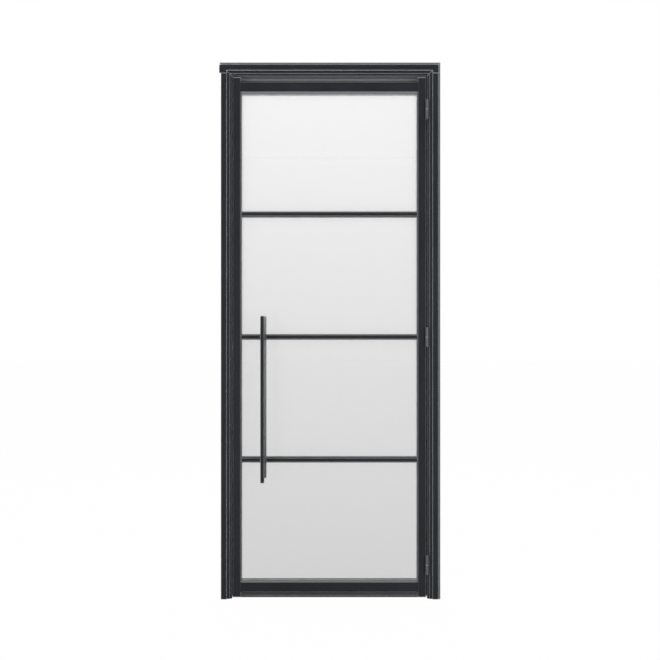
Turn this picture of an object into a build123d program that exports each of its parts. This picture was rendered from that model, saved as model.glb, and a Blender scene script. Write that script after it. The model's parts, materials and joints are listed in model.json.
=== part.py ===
from build123d import *
import math
import os

# A glazed metal door in its wrap-around frame, in millimetres.
# X runs across the doorway with the hinges at +X, Z is up from the floor, and the side
# that the leaf opens towards faces -Y. The origin is on the floor, in the middle of the
# doorway and of the leaf's thickness.

# Doorway between the frame's inner faces
OPENING_WIDTH = 785.0
OPENING_HEIGHT = 2100.0

# Gaps round the closed leaf
LATCH_GAP = 3.5
HINGE_GAP = 6.0
HEAD_GAP = 5.5
FLOOR_GAP = 6.0
SEAL_GAP = 3.0

# Folded sheet of the frame
FRAME_DEPTH = 100.0
FRAME_SHEET = 2.0
INNER_STEP_WIDTH = 9.0
INNER_STEP_RISE = 4.0
OUTER_STEP_WIDTH = 11.5
OUTER_STEP_RISE = 3.5
STOP_WIDTH = 12.0
REAR_FLANGE_WIDTH = 43.0
FOLD_INSIDE_RADIUS = 0.5

# Flat cover strips on the frame's front flange
COVER_WIDTH = 22.5
COVER_THICKNESS = 2.5
COVER_OVERHANG = 7.0
COVER_EAR = 11.5
COVER_CORNER_RADIUS = 3.0
COVER_EDGE_RADIUS = 0.5
FIXING_FLANGE = 8.5

# Angle that deepens the head's stop
STOP_ANGLE_LEG = 22.0
STOP_ANGLE_SHEET = 3.0

# Leaf profiles
LEAF_DEPTH = 44.0
STILE_WIDTH = 34.0
RAIL_WIDTH = 46.5
TOP_NOTCH = 20.0
BOTTOM_NOTCH = 21.5
PROFILE_WALL = 2.0
STILE_CHAMFER = 4.0
RAIL_CHAMFER = 8.5
REBATE = 10.0
CORNER_RADIUS = 0.6
END_CAP = 2.0
END_CAP_PLUG = 10.0
RAIL_BLOCK_LENGTH = 30.0
PUSH_IN_PLAY = 0.1

# Glass and what holds it
GLASS_THICKNESS = 8.0
GLASS_EDGE_CLEARANCE = 2.0
SETTING_BLOCK = 4.0
SETTING_BLOCK_LENGTH = 60.0
GASKET_THICKNESS = 3.0
GASKET_HIDDEN = 7.0
GASKET_SHOWN = 1.5
BEAD_CLEARANCE = 0.2
BEAD_SETBACK = 3.0
GLAZING_BARS = 3
GLAZING_BAR_WIDTH = 22.0
GLAZING_BAR_CHAMFER = 5.0
GLAZING_BAR_SETBACK = 3.0

# Seals
STOP_SEAL_WIDTH = 6.0
STOP_SEAL_CLEARANCE = 0.3
STOP_SEAL_RADIUS = 1.0
SEAL_FROM_EDGE = 2.0
SEAL_END_GAP = 0.5
BOTTOM_SEAL_WIDTH = 28.0
BOTTOM_SEAL_HEIGHT = 16.0
BOTTOM_SEAL_WALL = 1.5
BLADE_THICKNESS = 5.0
BLADE_FOOT_UP = 4.0
BLADE_FLOOR_GAP = 1.0

# Pull bars, one on each side of the glass
PULL_LENGTH = 663.0
PULL_WIDTH = 14.0
PULL_DEPTH = 25.0
PULL_WALL = 1.5
PULL_PROJECTION = 62.0
PULL_FROM_EDGE = 122.0
PULL_CAP = 2.0
PULL_CAP_PLUG = 8.0
STANDOFF_RADIUS = 6.5
STANDOFF_FLANGE_RADIUS = 13.0
STANDOFF_FLANGE = 4.0
PULL_BOLT_RADIUS = 4.0
PULL_BOLT_GRIP = 20.0
PULL_BOLT_END_GAP = 2.0
PULL_BOLT_CLEARANCE = 0.1
GLASS_HOLE_RADIUS = 8.0

# Lift-off hinges
HINGE_FROM_FLOOR = 137.0
HINGE_FROM_HEAD = 135.5
HINGE_COUNT = 3
HINGE_HEIGHT = 78.0
HINGE_AXIS_FROM_JAMB = 2.0
HINGE_AXIS_AHEAD = 8.0
BARREL_RADIUS = 6.5
BARREL_CHAMFER = 0.6
ARM_INSET = 1.0
ARM_INTO_WING = 1.0
PIN_RADIUS = 4.0
PIN_CHAMFER = 0.8
PIN_RUNNING_CLEARANCE = 0.06
PIN_TIGHT_CLEARANCE = 0.02
PIN_UP = 30.0
PIN_END_GAP = 1.0
PIN_DOWN = 35.0
WASHER = 1.0
WASHER_INSET = 0.3
WING_THICKNESS = 2.5
WING_WIDTH = 36.0
BACKING_PLATE = 4.0
BACKING_PLATE_WIDTH = 28.0
BACKING_PLATE_FROM_FACE = 3.0

# Sprung roller catch and its strike
CATCH_HEIGHT = 1010.0
CATCH_TRAVEL = 4.5
ROLLER_RADIUS = 5.0
ROLLER_HEIGHT = 6.0
ROLLER_CHAMFER = 0.4
ROLLER_PLAY = 0.4
ROLLER_INTO_JAMB = 2.0
ROLLER_PIN_RADIUS = 1.25
ROLLER_CLEARANCE = 0.05
FORK_CHEEK = 2.0
FORK_PLAY = 0.2
FORK_SIDE = 0.5
BOLT_LENGTH = 16.6
BOLT_BEHIND_TIP = 2.9
PLATE_THICKNESS = 1.5
PLATE_PROUD = 0.5
PLATE_WIDTH = 20.0
PLATE_HEIGHT = 50.0
PLATE_CLEARANCE = 0.1
STRIKE_PLAY = 0.3
CASE_WIDTH = 18.0
CASE_WALL = 1.5
CASE_BACK_GAP = 0.5
CATCH_SLOT = 14.0
SPRING_RADIUS = 2.6
SPRING_WIRE = 0.45
SPRING_TURNS = 4
SPRING_PLAY = 0.4
SPRING_POCKET = 6.0
STRIKE_BOX_DEPTH = 8.5
STRIKE_BOX_WIDTH = 18.0
STRIKE_CAVITY_WIDTH = 14.0
STRIKE_CAVITY_HEIGHT = 28.0

# Holes for the screws that hold the frame to the wall
FIXING_HOLE_RADIUS = 4.5
FIXING_HOLES = 4
FIXING_FROM_END = 300.0

# How far a cutting shape runs past what it cuts
OVERRUN = 1.0

# Places that follow from the sizes above
HALF = OPENING_WIDTH / 2
LEAF_FRONT = -LEAF_DEPTH / 2
LEAF_BACK = LEAF_DEPTH / 2
LEAF_LEFT = -HALF + LATCH_GAP
LEAF_RIGHT = HALF - HINGE_GAP
LEAF_TOP = OPENING_HEIGHT - HEAD_GAP
LEAF_BOTTOM = FLOOR_GAP
OUTER_STEP_Y = LEAF_FRONT - INNER_STEP_RISE
FLANGE_Y = OUTER_STEP_Y - OUTER_STEP_RISE
COVER_Y = FLANGE_Y - COVER_THICKNESS
FRAME_BACK = COVER_Y + FRAME_DEPTH
STOP_Y = LEAF_BACK + SEAL_GAP
COVER_INNER = INNER_STEP_WIDTH + OUTER_STEP_WIDTH
COVER_OUTER = COVER_INNER + COVER_WIDTH
COVER_END = HALF + COVER_OUTER + COVER_OVERHANG
EAR_BOTTOM = OPENING_HEIGHT + COVER_INNER - COVER_EAR

TOP_RAIL_TOP = LEAF_TOP - TOP_NOTCH
BOTTOM_RAIL_BOTTOM = LEAF_BOTTOM + BOTTOM_NOTCH
PANE_LEFT = LEAF_LEFT + STILE_WIDTH
PANE_RIGHT = LEAF_RIGHT - STILE_WIDTH
PANE_BOTTOM = BOTTOM_RAIL_BOTTOM + RAIL_WIDTH
PANE_TOP = TOP_RAIL_TOP - RAIL_WIDTH
GLASS_FACE = GLASS_THICKNESS / 2
GASKET_FACE = GLASS_FACE + GASKET_THICKNESS
BAR_FACE = LEAF_BACK - GLAZING_BAR_SETBACK

PULL_X = LEAF_LEFT + PULL_FROM_EDGE
PULL_OUTER = LEAF_BACK + PULL_PROJECTION
PULL_INNER = PULL_OUTER - PULL_DEPTH

AXIS_X = HALF - HINGE_AXIS_FROM_JAMB
AXIS_Y = LEAF_FRONT - HINGE_AXIS_AHEAD
ROLLER_X = -HALF - ROLLER_INTO_JAMB + ROLLER_RADIUS
ROLLER_TIP = ROLLER_X - ROLLER_RADIUS
BOLT_HALF_WIDTH = ROLLER_RADIUS + FORK_SIDE
FORK_HALF_HEIGHT = ROLLER_HEIGHT / 2 + FORK_PLAY + FORK_CHEEK


def evenly(first, last, count):
    """Evenly spaced values from first to last."""
    return [first + (last - first) * i / (count - 1) for i in range(count)]


def bar_heights():
    """Centre heights of the glazing bars, which part the glass into equal panes."""
    bare = PANE_TOP - PANE_BOTTOM - GLAZING_BARS * GLAZING_BAR_WIDTH
    pitch = bare / (GLAZING_BARS + 1) + GLAZING_BAR_WIDTH
    return [PANE_BOTTOM + pitch * (i + 1) - GLAZING_BAR_WIDTH / 2 for i in range(GLAZING_BARS)]


def block(x, y, z):
    """A box between two corners, given as a (low, high) pair on each axis."""
    centre = [(low + high) / 2 for low, high in (x, y, z)]
    size = [abs(high - low) for low, high in (x, y, z)]
    return Pos(*centre) * Box(*size)


def rod(start, direction, radius, length):
    """A cylinder that starts at a point and runs along a direction."""
    base = Plane(origin=start, z_dir=direction)
    return base * Cylinder(radius, length, align=(Align.CENTER, Align.CENTER, Align.MIN))


def prism(points, direction, radii=0.0):
    """A straight length of the outline given by 3-D points, with one radius or one a corner."""
    outline = FilletPolyline(*points, radius=radii, close=True)
    return Solid.extrude(Face(Wire(outline.edges())), Vector(*direction))


def upright(points, low, high, radii=0.0):
    """A vertical length of a section given as (x, y) points."""
    return prism([(x, y, low) for x, y in points], (0, 0, high - low), radii)


def level(points, left, right, radii=0.0):
    """A horizontal length, across the doorway, of a section given as (z, y) points."""
    return prism([(left, y, z) for z, y in points], (right - left, 0, 0), radii)


def corner_wedge(left, right, height, outward, inward, up):
    """What lies between the two 45 degree mitres of a horizontal member."""
    points = [
        (left - outward, height + up * outward),
        (right + outward, height + up * outward),
        (right - inward, height - up * inward),
        (left + inward, height - up * inward),
    ]
    reach = FRAME_DEPTH
    return prism([(x, -reach, z) for x, z in points], (0, 2 * reach, 0))


def right_normal(start, end):
    """Unit normal to the right of an axis-parallel run."""
    dx, dy = end[0] - start[0], end[1] - start[1]
    length = abs(dx) + abs(dy)
    return (dy / length, -dx / length)


def folded_sheet(path, thickness):
    """Outline of a sheet with right-angled folds: its face, and its back to the right."""
    normals = [right_normal(a, b) for a, b in zip(path, path[1:])]
    before = [normals[0]] + normals
    after = normals + [normals[-1]]
    back = []
    for (u, v), first, second in zip(path, before, after):
        shift = [thickness * sum(n[axis] for n in {first, second}) for axis in (0, 1)]
        back.append((u + shift[0], v + shift[1]))
    return path + back[::-1]


def fold_radii(path, thickness):
    """The folded sheet's corner radii, which are wider by its thickness outside each fold."""
    normals = [right_normal(a, b) for a, b in zip(path, path[1:])]
    wide, narrow = FOLD_INSIDE_RADIUS + thickness, FOLD_INSIDE_RADIUS
    face, back = [0.0], [0.0]
    for first, second in zip(normals, normals[1:]):
        turns_right = first[0] * second[1] < first[1] * second[0]
        face.append(wide if turns_right else narrow)
        back.append(narrow if turns_right else wide)
    return face + [0.0] + [0.0] + back[:0:-1] + [0.0]


def hinge_heights():
    """Where each hinge's two knuckles meet."""
    return evenly(HINGE_FROM_FLOOR, OPENING_HEIGHT - HINGE_FROM_HEAD, HINGE_COUNT)


def fixing_heights():
    """Heights of the holes for the screws that hold each jamb to the wall."""
    return evenly(FIXING_FROM_END, OPENING_HEIGHT - FIXING_FROM_END, FIXING_HOLES)


def frame_path(flange_end):
    """Face of the frame's folded sheet as (distance out from the doorway, y) points."""
    return [
        (flange_end, FLANGE_Y),
        (COVER_INNER, FLANGE_Y),
        (COVER_INNER, OUTER_STEP_Y),
        (INNER_STEP_WIDTH, OUTER_STEP_Y),
        (INNER_STEP_WIDTH, LEAF_FRONT),
        (0.0, LEAF_FRONT),
        (0.0, STOP_Y),
        (-STOP_WIDTH, STOP_Y),
        (-STOP_WIDTH, FRAME_BACK),
        (REAR_FLANGE_WIDTH, FRAME_BACK),
    ]


def head_wedge():
    """What lies between the frame's two corner mitres."""
    outward = COVER_OUTER + 2 * FIXING_FLANGE
    return corner_wedge(-HALF, HALF, OPENING_HEIGHT, outward, 2 * STOP_WIDTH, 1)


def jamb(side, flange_end):
    """One upright of the frame, mitred at its top, with its wall fixing holes."""
    path = frame_path(flange_end)
    points = [(side * (HALF + u), v) for u, v in folded_sheet(path, FRAME_SHEET)]
    body = upright(points, 0, OPENING_HEIGHT + flange_end, fold_radii(path, FRAME_SHEET)) - head_wedge()
    hole_y = (STOP_Y + FRAME_BACK) / 2
    for z in fixing_heights():
        start = (side * (HALF - 2 * STOP_WIDTH), hole_y, z)
        body -= rod(start, (side, 0, 0), FIXING_HOLE_RADIUS, 2 * STOP_WIDTH)
    return body


def catch_block(x, width, height):
    """A box about the catch's middle, between two places across the doorway."""
    z = (CATCH_HEIGHT - height / 2, CATCH_HEIGHT + height / 2)
    return block(x, (-width / 2, width / 2), z)


def latch_jamb():
    """The -X jamb, with the sinking and the slot for the strike."""
    body = jamb(-1, COVER_OUTER) - plate_sinking(-HALF, -1)
    slot = (-HALF - 2 * FRAME_SHEET, -HALF + OVERRUN)
    return body - catch_block(slot, STRIKE_CAVITY_WIDTH, STRIKE_CAVITY_HEIGHT)


def head():
    """The frame's top member, mitred at both ends and cut off under the cover's end."""
    flange_end = COVER_OUTER + FIXING_FLANGE
    path = frame_path(flange_end)
    points = [(OPENING_HEIGHT + u, v) for u, v in folded_sheet(path, FRAME_SHEET)]
    reach = HALF + flange_end
    body = level(points, -reach, reach, fold_radii(path, FRAME_SHEET)) & head_wedge()
    height = (OPENING_HEIGHT - FRAME_DEPTH, OPENING_HEIGHT + FRAME_DEPTH)
    return body - block((-2 * reach, -COVER_END), (-FRAME_DEPTH, FRAME_DEPTH), height)


def jamb_cover(side):
    """Flat strip on a jamb's flange, which ends under an ear of the head's cover."""
    low, high = HALF + COVER_INNER, HALF + COVER_OUTER
    points = [(low, COVER_Y), (high, COVER_Y), (high, FLANGE_Y), (low, FLANGE_Y)]
    rounded = [COVER_EDGE_RADIUS, COVER_EDGE_RADIUS, 0.0, 0.0]
    return upright([(side * x, y) for x, y in points], 0, EAR_BOTTOM, rounded)


def head_cover():
    """Flat strip on the head's flange, with an ear at each end that reaches down a jamb."""
    low, high, inner = OPENING_HEIGHT + COVER_INNER, OPENING_HEIGHT + COVER_OUTER, HALF + COVER_INNER
    right = [(inner, low), (inner, EAR_BOTTOM), (COVER_END, EAR_BOTTOM), (COVER_END, high)]
    points = right + [(-x, z) for x, z in right[::-1]]
    radii = [0.0 if x == inner else COVER_CORNER_RADIUS for x, z in right]
    return prism([(x, COVER_Y, z) for x, z in points], (0, COVER_THICKNESS, 0), radii + radii[::-1])


def stop_angle():
    """Angle under the head's stop that the leaf's top rail closes on."""
    top = OPENING_HEIGHT - STOP_WIDTH
    path = [(top, STOP_Y + STOP_ANGLE_LEG), (top, STOP_Y), (top - STOP_ANGLE_LEG, STOP_Y)]
    reach = HALF - STOP_WIDTH - STOP_SEAL_CLEARANCE
    return level(folded_sheet(path, STOP_ANGLE_SHEET), -reach, reach, fold_radii(path, STOP_ANGLE_SHEET))


def seal_section(low, high):
    """Strip between two edges, from the stop's face to just short of the leaf."""
    front = LEAF_BACK + STOP_SEAL_CLEARANCE
    return [(low, STOP_Y), (low, front), (high, front), (high, STOP_Y)]


def jamb_seal(side):
    """Seal on a jamb's stop."""
    low = HALF - STOP_WIDTH + SEAL_FROM_EDGE
    points = [(side * u, v) for u, v in seal_section(low, low + STOP_SEAL_WIDTH)]
    return upright(points, 0, OPENING_HEIGHT - STOP_WIDTH - SEAL_END_GAP, STOP_SEAL_RADIUS)


def head_seal():
    """Seal on the stop angle, behind the leaf's top rail."""
    low = OPENING_HEIGHT - STOP_WIDTH - STOP_ANGLE_LEG + SEAL_END_GAP
    reach = HALF - STOP_WIDTH - STOP_SEAL_CLEARANCE
    return level(seal_section(low, low + STOP_SEAL_WIDTH), -reach, reach, STOP_SEAL_RADIUS)


def leaf_section(width, cut, edge, inward, filled=False):
    """Outline of a leaf profile with a cut front edge, and its chambers, as (place, y) points."""
    web = width - REBATE
    wall = PROFILE_WALL
    fin_back = -GASKET_FACE
    shift = wall * math.tan(math.pi / 8)
    outer = [
        (0, LEAF_FRONT),
        (width - cut, LEAF_FRONT),
        (width, LEAF_FRONT + cut),
        (width, fin_back),
        (web, fin_back),
        (web, LEAF_BACK),
        (0, LEAF_BACK),
    ]
    tube = [
        (wall, LEAF_FRONT + wall),
        (web - wall, LEAF_FRONT + wall),
        (web - wall, LEAF_BACK - wall),
        (wall, LEAF_BACK - wall),
    ]
    fin = [
        (web, LEAF_FRONT + wall),
        (width - cut - shift, LEAF_FRONT + wall),
        (width - wall, LEAF_FRONT + cut + shift),
        (width - wall, fin_back - wall),
        (web, fin_back - wall),
    ]
    rings = [outer] if filled else [outer, tube, fin]
    return [[(edge + inward * u, v) for u, v in ring] for ring in rings]


def leaf_radii():
    """Corner radii of a leaf profile, whose rebate has a sharp inner corner."""
    front, back = [CORNER_RADIUS] * 4, [CORNER_RADIUS] * 2
    return front + [0.0] + back


def stile(edge, inward, filled=False):
    """One upright of the leaf: a tube with a fin that the glass sits behind."""
    low, high = LEAF_BOTTOM + END_CAP, LEAF_TOP - END_CAP
    outer, *chambers = leaf_section(STILE_WIDTH, STILE_CHAMFER, edge, inward, filled)
    body = upright(outer, low, high, leaf_radii())
    for ring in chambers:
        body -= upright(ring, low - OVERRUN, high + OVERRUN)
    return body


def rail(edge, inward):
    """One cross member of the leaf, coped to the stiles at its ends."""
    left = LEAF_LEFT + STILE_WIDTH - REBATE
    right = LEAF_RIGHT - STILE_WIDTH + REBATE
    outer, *chambers = leaf_section(RAIL_WIDTH, RAIL_CHAMFER, edge, inward)
    body = level(outer, left, right, leaf_radii())
    for ring in chambers:
        body -= level(ring, left - OVERRUN, right + OVERRUN)
    body -= stile(LEAF_LEFT, 1, filled=True)
    return body - stile(LEAF_RIGHT, -1, filled=True)


def rail_ends():
    """Each rail end's stile edge, its way inward and the middle height of its tube."""
    middle = (RAIL_WIDTH - REBATE) / 2
    for height in (TOP_RAIL_TOP - middle, BOTTOM_RAIL_BOTTOM + middle):
        yield LEAF_LEFT, 1, height
        yield LEAF_RIGHT, -1, height


def rail_end_blocks():
    """Blocks in the rails' open ends, behind the stiles' fins, that tie the corners."""
    half_height = (RAIL_WIDTH - REBATE) / 2 - PROFILE_WALL - PUSH_IN_PLAY
    y = (-GASKET_FACE + PUSH_IN_PLAY, LEAF_BACK - PROFILE_WALL - PUSH_IN_PLAY)
    blocks = []
    for edge, inward, z in rail_ends():
        start = edge + inward * (STILE_WIDTH - REBATE)
        x = (start, start + inward * RAIL_BLOCK_LENGTH)
        blocks.append(block(x, y, (z - half_height, z + half_height)))
    return blocks


def latch_stile():
    """The -X stile, with the sinking and the slot for the roller catch."""
    body = stile(LEAF_LEFT, 1) - plate_sinking(LEAF_LEFT, 1)
    slot = (LEAF_LEFT - OVERRUN, LEAF_LEFT + PROFILE_WALL + OVERRUN)
    return body - catch_block(slot, CATCH_SLOT, CATCH_SLOT)


def stile_end_caps():
    """Caps on both ends of both stiles, each with a plug in the tube."""
    caps = []
    for edge, inward in ((LEAF_LEFT, 1), (LEAF_RIGHT, -1)):
        outer, tube, _ = leaf_section(STILE_WIDTH, STILE_CHAMFER, edge, inward)
        xs = sorted(x for x, _ in tube)
        ys = sorted(y for _, y in tube)
        plug_x = (xs[0] + PUSH_IN_PLAY, xs[-1] - PUSH_IN_PLAY)
        plug_y = (ys[0] + PUSH_IN_PLAY, ys[-1] - PUSH_IN_PLAY)
        for end, up in ((LEAF_BOTTOM, 1), (LEAF_TOP, -1)):
            joint = end + up * END_CAP
            plug = block(plug_x, plug_y, (joint, joint + up * END_CAP_PLUG))
            caps.append(upright(outer, min(end, joint), max(end, joint)) + plug)
    return caps


def glass_pane():
    """The single pane behind the glazing bars, bored for the pull bars' bolts."""
    reach = REBATE - GLASS_EDGE_CLEARANCE
    x = (PANE_LEFT - reach, PANE_RIGHT + reach)
    z = (PANE_BOTTOM - REBATE + SETTING_BLOCK, PANE_TOP + reach)
    body = block(x, (-GLASS_FACE, GLASS_FACE), z)
    for height in pull_bolt_heights():
        body -= rod((PULL_X, -GLASS_THICKNESS, height), (0, 1, 0), GLASS_HOLE_RADIUS, 2 * GLASS_THICKNESS)
    return body


def setting_blocks():
    """Packers between the bottom rail and the glass."""
    quarter = (PANE_RIGHT - PANE_LEFT) / 4
    z = (PANE_BOTTOM - REBATE, PANE_BOTTOM - REBATE + SETTING_BLOCK)
    half = SETTING_BLOCK_LENGTH / 2
    middles = (PANE_LEFT + quarter, PANE_RIGHT - quarter)
    return [block((x - half, x + half), (-GLASS_FACE, GLASS_FACE), z) for x in middles]


def pane_block(past, y):
    """A box that reaches past the opening in front of the glass by the same on all sides."""
    x = (PANE_LEFT - past, PANE_RIGHT + past)
    return block(x, y, (PANE_BOTTOM - past, PANE_TOP + past))


def gasket(front):
    """A loop of gasket on one face of the glass."""
    near, far = (-GASKET_FACE, -GLASS_FACE) if front else (GLASS_FACE, GASKET_FACE)
    inner = pane_block(-GASKET_SHOWN, (near - OVERRUN, far + OVERRUN))
    return pane_block(GASKET_HIDDEN, (near, far)) - inner


def bead_section(edge, inward):
    """Section of a back glazing bead, set back from the glass opening's edge."""
    outer, inner = REBATE - BEAD_CLEARANCE, BEAD_SETBACK
    points = [
        (outer, GASKET_FACE),
        (inner, GASKET_FACE),
        (inner, LEAF_BACK - STILE_CHAMFER),
        (inner + STILE_CHAMFER, LEAF_BACK),
        (outer, LEAF_BACK),
    ]
    return [(edge - inward * u, v) for u, v in points]


def side_bead(edge, inward):
    """An upright back bead, mitred at both ends."""
    reach = REBATE - BEAD_CLEARANCE
    body = upright(bead_section(edge, inward), PANE_BOTTOM - reach, PANE_TOP + reach, CORNER_RADIUS)
    body -= corner_wedge(PANE_LEFT, PANE_RIGHT, PANE_TOP, REBATE, REBATE, 1)
    return body - corner_wedge(PANE_LEFT, PANE_RIGHT, PANE_BOTTOM, REBATE, REBATE, -1)


def cross_bead(edge, inward):
    """A horizontal back bead, mitred at both ends."""
    reach = REBATE - BEAD_CLEARANCE
    body = level(bead_section(edge, inward), PANE_LEFT - reach, PANE_RIGHT + reach, CORNER_RADIUS)
    return body & corner_wedge(PANE_LEFT, PANE_RIGHT, edge, REBATE, REBATE, -inward)


def glazing_bar(height, front, drilled):
    """A channel with chamfered edges on one face of the glass, open towards it."""
    side = -1 if front else 1
    half, chamfer, wall = GLAZING_BAR_WIDTH / 2, GLAZING_BAR_CHAMFER, PROFILE_WALL
    shift = wall * math.tan(math.pi / 8)
    outer = [
        (-half, GLASS_FACE),
        (-half, BAR_FACE - chamfer),
        (-half + chamfer, BAR_FACE),
        (half - chamfer, BAR_FACE),
        (half, BAR_FACE - chamfer),
        (half, GLASS_FACE),
    ]
    inner = [
        (-half + wall, GLASS_FACE - OVERRUN),
        (-half + wall, BAR_FACE - chamfer - shift),
        (-half + chamfer + shift, BAR_FACE - wall),
        (half - chamfer - shift, BAR_FACE - wall),
        (half - wall, BAR_FACE - chamfer - shift),
        (half - wall, GLASS_FACE - OVERRUN),
    ]
    past = 0 if front else BEAD_SETBACK
    left, right = PANE_LEFT - past, PANE_RIGHT + past
    body = level([(height + z, side * y) for z, y in outer], left, right)
    hollow = [(height + z, side * y) for z, y in inner]
    body -= level(hollow, left - OVERRUN, right + OVERRUN)
    body -= gasket(front)
    if drilled:
        bore = PULL_BOLT_RADIUS + PULL_BOLT_CLEARANCE
        body -= rod((PULL_X, 0, height), (0, side, 0), bore, LEAF_DEPTH)
    return body


def pull_bolt_heights():
    """Heights of the two glazing bars that carry the pull bars."""
    return bar_heights()[:2]


def pull_ends():
    """Lowest and highest point of a pull bar, centred on its bolts."""
    middle = sum(pull_bolt_heights()) / 2
    return middle - PULL_LENGTH / 2, middle + PULL_LENGTH / 2


def pull_bar(side):
    """A rectangular tube, without its end caps."""
    low, high = pull_ends()
    half = PULL_WIDTH / 2
    y = (side * PULL_INNER, side * PULL_OUTER)
    tube = upright(
        [(PULL_X - half, y[0]), (PULL_X + half, y[0]), (PULL_X + half, y[1]), (PULL_X - half, y[1])],
        low + PULL_CAP,
        high - PULL_CAP,
        CORNER_RADIUS,
    )
    hollow = half - PULL_WALL
    inside = (side * (PULL_INNER + PULL_WALL), side * (PULL_OUTER - PULL_WALL))
    return tube - block((PULL_X - hollow, PULL_X + hollow), inside, (low, high))


def pull_caps():
    """Caps on the four ends of the two pull bars, each with a plug in the tube."""
    low, high = pull_ends()
    inset = PULL_WALL + PUSH_IN_PLAY
    half, plug_half = PULL_WIDTH / 2, PULL_WIDTH / 2 - inset
    caps = []
    for side in (-1, 1):
        plate_y = (side * PULL_INNER, side * PULL_OUTER)
        plug_y = (side * (PULL_INNER + inset), side * (PULL_OUTER - inset))
        for end, inward in ((low, 1), (high, -1)):
            joint = end + inward * PULL_CAP
            plate = block((PULL_X - half, PULL_X + half), plate_y, (end, joint))
            plug_x = (PULL_X - plug_half, PULL_X + plug_half)
            caps.append(plate + block(plug_x, plug_y, (joint, joint + inward * PULL_CAP_PLUG)))
    return caps


def standoffs(side):
    """The two turned posts between one pull bar and its glazing bars."""
    posts = []
    for z in pull_bolt_heights():
        start, out = (PULL_X, side * BAR_FACE, z), (0, side, 0)
        post = rod(start, out, STANDOFF_RADIUS, PULL_INNER - BAR_FACE)
        post += rod(start, out, STANDOFF_FLANGE_RADIUS, STANDOFF_FLANGE)
        bore = PULL_BOLT_RADIUS + PULL_BOLT_CLEARANCE / 2
        posts.append(post - rod(start, out, bore, PULL_BOLT_GRIP + PULL_BOLT_END_GAP))
    return posts


def pull_bolts():
    """Threaded rods through the glass that tie the front posts to the back ones."""
    reach = BAR_FACE + PULL_BOLT_GRIP
    starts = [(PULL_X, -reach, z) for z in pull_bolt_heights()]
    return [rod(start, (0, 1, 0), PULL_BOLT_RADIUS, 2 * reach) for start in starts]


def glass_bushes():
    """Sleeves that keep the bolts off the edge of the holes in the glass."""
    bushes = []
    for z in pull_bolt_heights():
        start, along = (PULL_X, -GLASS_FACE, z), (0, 1, 0)
        sleeve = rod(start, along, GLASS_HOLE_RADIUS - PUSH_IN_PLAY, GLASS_THICKNESS)
        bushes.append(sleeve - rod(start, along, PULL_BOLT_RADIUS + PULL_BOLT_CLEARANCE, GLASS_THICKNESS))
    return bushes


def between_stiles():
    """Where what lies under the bottom rail starts and ends, before the stiles are cut out."""
    return LEAF_LEFT + STILE_WIDTH - REBATE, LEAF_RIGHT - STILE_WIDTH + REBATE


def bottom_seal_housing():
    """Channel under the bottom rail, open downwards."""
    half, wall = BOTTOM_SEAL_WIDTH / 2, BOTTOM_SEAL_WALL
    low, high = BOTTOM_RAIL_BOTTOM - BOTTOM_SEAL_HEIGHT, BOTTOM_RAIL_BOTTOM
    left, right = between_stiles()
    body = block((left, right), (-half, half), (low, high))
    channel = (left - OVERRUN, right + OVERRUN)
    body -= block(channel, (wall - half, half - wall), (low - OVERRUN, high - wall))
    body -= stile(LEAF_LEFT, 1, filled=True)
    return body - stile(LEAF_RIGHT, -1, filled=True)


def bottom_seal_blade():
    """Rubber blade with a foot that fills the housing's channel."""
    half = BOTTOM_SEAL_WIDTH / 2 - BOTTOM_SEAL_WALL
    foot = (BOTTOM_RAIL_BOTTOM - BOTTOM_SEAL_HEIGHT + BLADE_FOOT_UP, BOTTOM_RAIL_BOTTOM - BOTTOM_SEAL_WALL)
    body = block(between_stiles(), (-half, half), foot)
    body += block(between_stiles(), (-BLADE_THICKNESS / 2, BLADE_THICKNESS / 2), (BLADE_FLOOR_GAP, foot[0]))
    body -= stile(LEAF_LEFT, 1, filled=True)
    return body - stile(LEAF_RIGHT, -1, filled=True)


def wing_y():
    """Front and back edge of both hinge wings."""
    return (LEAF_FRONT, LEAF_FRONT + WING_WIDTH)


def backing_plates(side):
    """Plates inside the jamb or the stile that the hinge wings are screwed to."""
    near = HALF + FRAME_SHEET if side > 0 else LEAF_RIGHT - PROFILE_WALL
    half = HINGE_HEIGHT / 2
    x = (near, near + side * BACKING_PLATE)
    front = LEAF_FRONT + BACKING_PLATE_FROM_FACE
    y = (front, front + BACKING_PLATE_WIDTH)
    return [block(x, y, (middle - half, middle + half)) for middle in hinge_heights()]


def barrel(low, high, outer_end):
    """A barrel on the hinge axis, chamfered at the end that shows."""
    body = rod((AXIS_X, AXIS_Y, low), (0, 0, 1), BARREL_RADIUS, high - low)
    rims = body.edges().filter_by(GeomType.CIRCLE).sort_by(Axis.Z)
    return chamfer(rims[-1] if outer_end > 0 else rims[0], BARREL_CHAMFER)


def knuckle_arm(x, low, high):
    """What joins a barrel to its wing, in line with the wing."""
    return block(x, (AXIS_Y, LEAF_FRONT + ARM_INTO_WING), (low + ARM_INSET, high - ARM_INSET))


def frame_knuckle(middle):
    """The lower knuckle, its arm, and the wing on the jamb's inner face."""
    low, high = middle - HINGE_HEIGHT / 2, middle - WASHER / 2
    wing_x = (HALF - WING_THICKNESS, HALF)
    body = barrel(low, high, -1) + knuckle_arm(wing_x, low, high)
    body += block(wing_x, wing_y(), (low, middle + HINGE_HEIGHT / 2))
    start, bore = (AXIS_X, AXIS_Y, middle - PIN_DOWN), PIN_RADIUS + PIN_TIGHT_CLEARANCE
    return body - rod(start, (0, 0, 1), bore, HINGE_HEIGHT)


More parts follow.
